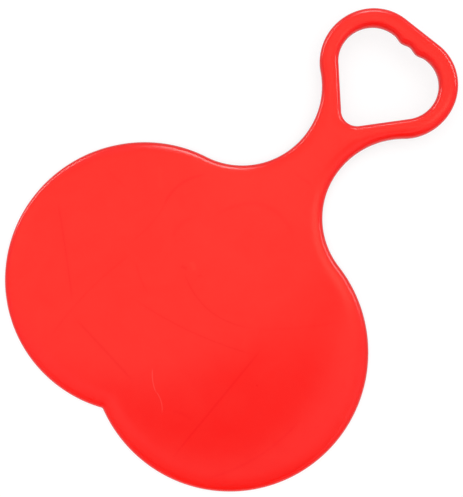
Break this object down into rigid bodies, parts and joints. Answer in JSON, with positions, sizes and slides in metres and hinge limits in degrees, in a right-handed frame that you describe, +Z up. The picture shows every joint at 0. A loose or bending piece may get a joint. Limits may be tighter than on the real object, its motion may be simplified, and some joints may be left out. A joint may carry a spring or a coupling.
{
  "type": "snow slider",
  "caption": "One-piece moulded plastic snow slider: an almost flat seat of two round lobes, a narrow neck and a loop handle held between the knees.",
  "frame": {"origin": "on the ground plane that the two runners stand on, under the centre of the slider's outline box", "axes": "+Y from the seat to the handle, +X to the rider's right, +Z up out of the seat's face"},
  "size_m": [0.371, 0.4805, 0.0403],
  "materials": {
    "red_plastic": "semi-gloss moulded red polythene, with faint flow and sink marks"
  },
  "bodies": {
    "root": {"slider_body": "red_plastic"}
  },
  "joints": []
}
